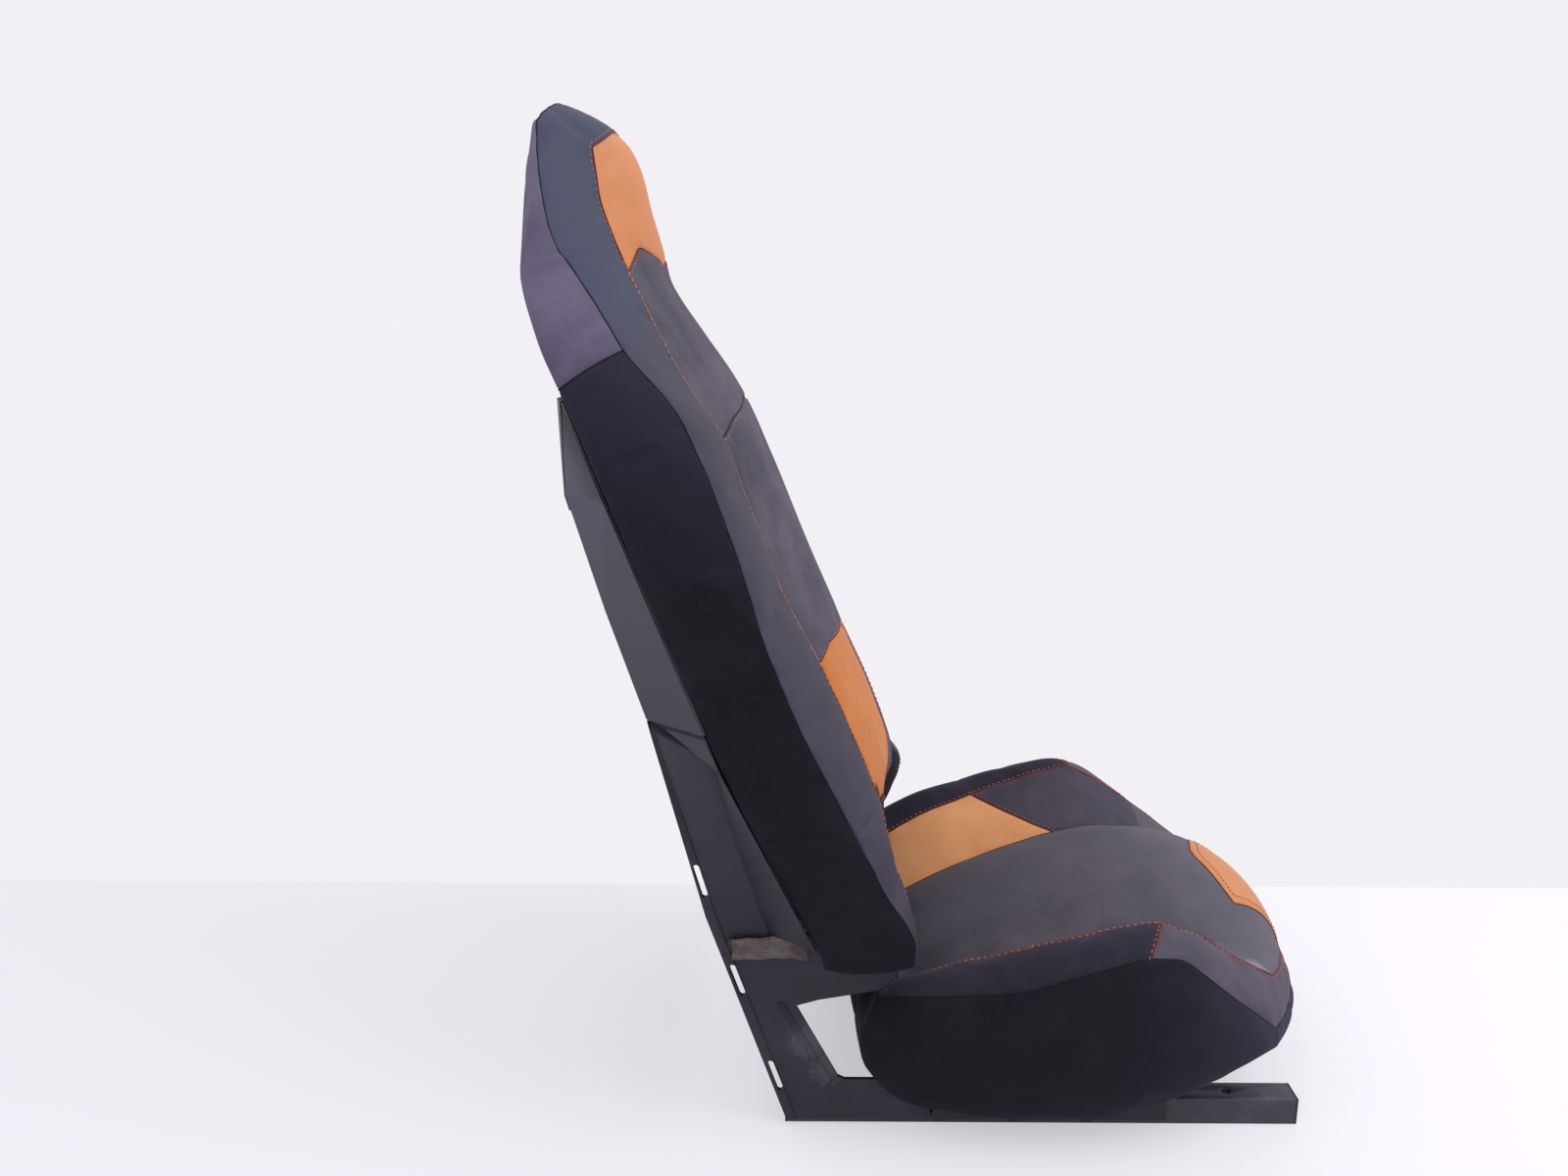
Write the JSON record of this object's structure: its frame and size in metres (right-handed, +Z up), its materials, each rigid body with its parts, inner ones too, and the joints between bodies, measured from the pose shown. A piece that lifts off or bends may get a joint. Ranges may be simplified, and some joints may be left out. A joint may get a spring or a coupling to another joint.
{
  "type": "bucket seat",
  "caption": "Worn off-road bucket seat with a padded orange and black back, headrest and seat cushion in a moulded black shell on two square rails.",
  "frame": {"origin": "centre of the floor bolt pattern, on the floor plane under the rails", "axes": "+X forward, the way the occupant faces; +Y to the occupant's left; +Z up"},
  "size_m": [0.7069, 0.4746, 0.889],
  "materials": {
    "shell_plastic": "satin moulded black",
    "rail_paint": "satin black paint",
    "plug_plastic": "matt",
    "zinc_steel": "zinc plated",
    "pan_plastic": "matt",
    "brass_insert": "machined",
    "foam": "moulded foam",
    "cover_fabric": "sewn vinyl and knit panels",
    "strap_webbing": "woven webbing"
  },
  "bodies": {
    "root": {"carrier_shell": "shell_plastic", "base_rail_right": "rail_paint", "base_rail_left": "rail_paint", "crossmember_front": "rail_paint", "crossmember_rear": "rail_paint", "rail_end_plugs": "plug_plastic", "rail_sleeves": "zinc_steel", "shell_bolts": "zinc_steel", "shell_washers": "zinc_steel", "shell_nuts": "zinc_steel", "seat_pan": "pan_plastic", "pan_inserts": "brass_insert", "pan_bolts": "zinc_steel", "pan_washers": "zinc_steel", "seat_foam": "foam", "seat_cover": "cover_fabric", "back_board": "pan_plastic", "back_tee_nuts": "zinc_steel", "back_screws": "zinc_steel", "back_foam": "foam", "back_cover": "cover_fabric", "pull_strap": "strap_webbing", "strap_screw": "zinc_steel", "strap_washer": "zinc_steel"}
  },
  "joints": []
}
